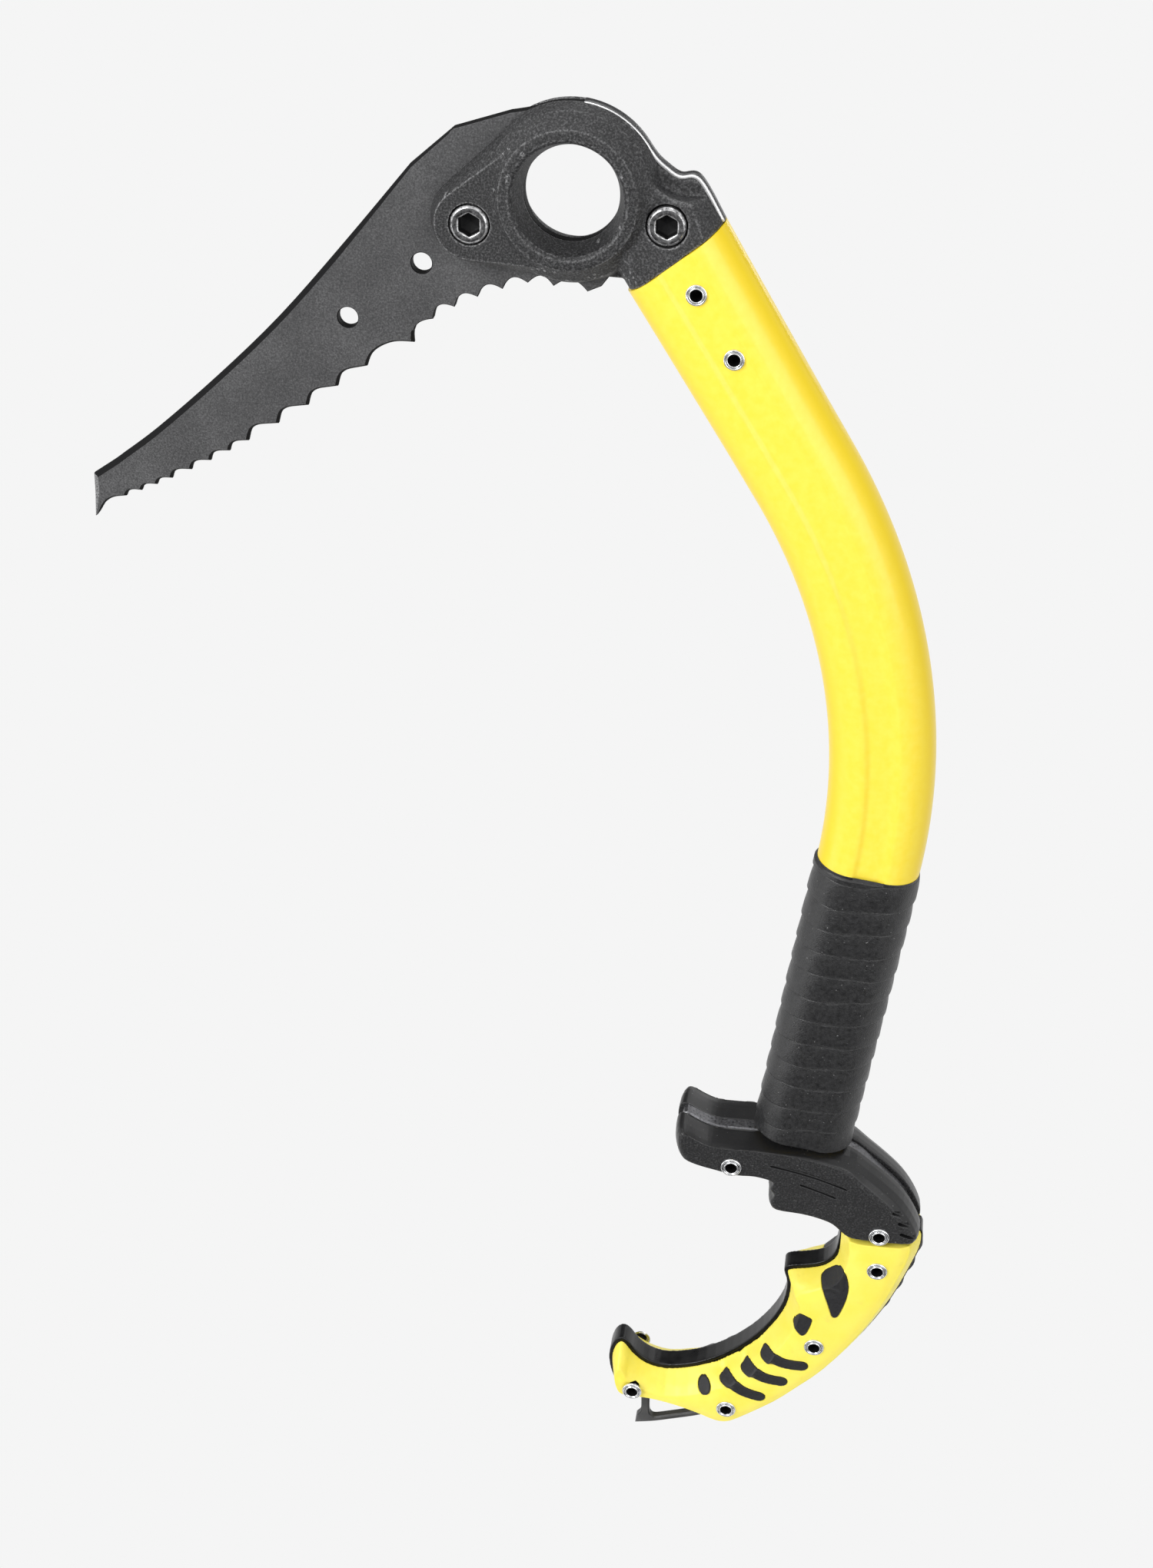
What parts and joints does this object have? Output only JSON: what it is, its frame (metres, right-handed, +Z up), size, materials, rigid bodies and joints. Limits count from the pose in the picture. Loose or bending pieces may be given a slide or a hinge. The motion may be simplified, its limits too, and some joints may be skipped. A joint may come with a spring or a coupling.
{
  "type": "ice climbing tool",
  "caption": "Technical ice tool with a forged ring head, bolted toothed pick, bent tube shaft with lapped grip tape, and an offset handle with finger guard, trigger and pommel spike.",
  "frame": {"origin": "centre of the head ring's hole, at the mid-plane of the tool", "axes": "tool in the XZ plane: -X towards the pick, +Z up from the handle to the head, +Y across the thickness, along the ring's axis"},
  "size_m": [0.2771, 0.0298, 0.4985],
  "materials": {
    "forged_head": "hot-forged alloy steel, black-grey cast-like skin with worn edges",
    "pick_steel": "blasted dark-grey tool steel, satin",
    "black_oxide_bolt": "black oxide on steel, oily sheen",
    "yellow_shaft": "glossy bright yellow powder coat on a drawn alloy tube",
    "chrome_rivet": "bright plated tube rivets",
    "hidden_steel": "plain ground steel pins under the tape",
    "tape_rubber": "black self-amalgamating rubber tape, satin",
    "black_plastic": "black glass-filled nylon, spark-eroded texture",
    "plate_steel": "grey sheet steel with bright cut edges",
    "yellow_grip": "bright yellow moulded plastic, satin gloss",
    "pad_rubber": "dark-grey soft rubber inlays",
    "spike_steel": "black satin coating on hardened steel"
  },
  "bodies": {
    "tool": {"head": "forged_head", "pick": "pick_steel", "front_pick_nut": "black_oxide_bolt", "rear_pick_nut": "black_oxide_bolt", "shaft": "yellow_shaft", "upper_head_rivet": "chrome_rivet", "lower_head_rivet": "chrome_rivet", "guard_front_rivet": "chrome_rivet", "guard_rear_rivet": "chrome_rivet", "grip_top_rivet": "chrome_rivet", "grip_palm_rivet": "chrome_rivet", "pommel_rear_rivet": "chrome_rivet", "pommel_front_rivet": "chrome_rivet", "upper_tang_pin": "hidden_steel", "lower_tang_pin": "hidden_steel", "grip_tape_base": "tape_rubber", "grip_tape": "tape_rubber", "tang_plug": "black_plastic", "near_guard": "black_plastic", "far_guard": "black_plastic", "grip_core": "black_plastic", "handle_plate": "plate_steel", "near_grip": "yellow_grip", "far_grip": "yellow_grip", "near_grip_pads": "pad_rubber", "far_grip_pads": "pad_rubber", "spike": "spike_steel"},
    "front_bolt": {"front_pick_bolt": "black_oxide_bolt"},
    "rear_bolt": {"rear_pick_bolt": "black_oxide_bolt"}
  },
  "joints": [
    {"name": "front_bolt_turn", "type": "hinge", "parent": "tool", "child": "front_bolt", "pos_m": [-0.0284, 0, -0.0083], "axis": [0, 1, 0], "continuous": true},
    {"name": "rear_bolt_turn", "type": "hinge", "parent": "tool", "child": "rear_bolt", "pos_m": [0.0278, 0, -0.0066], "axis": [0, 1, 0], "continuous": true}
  ]
}
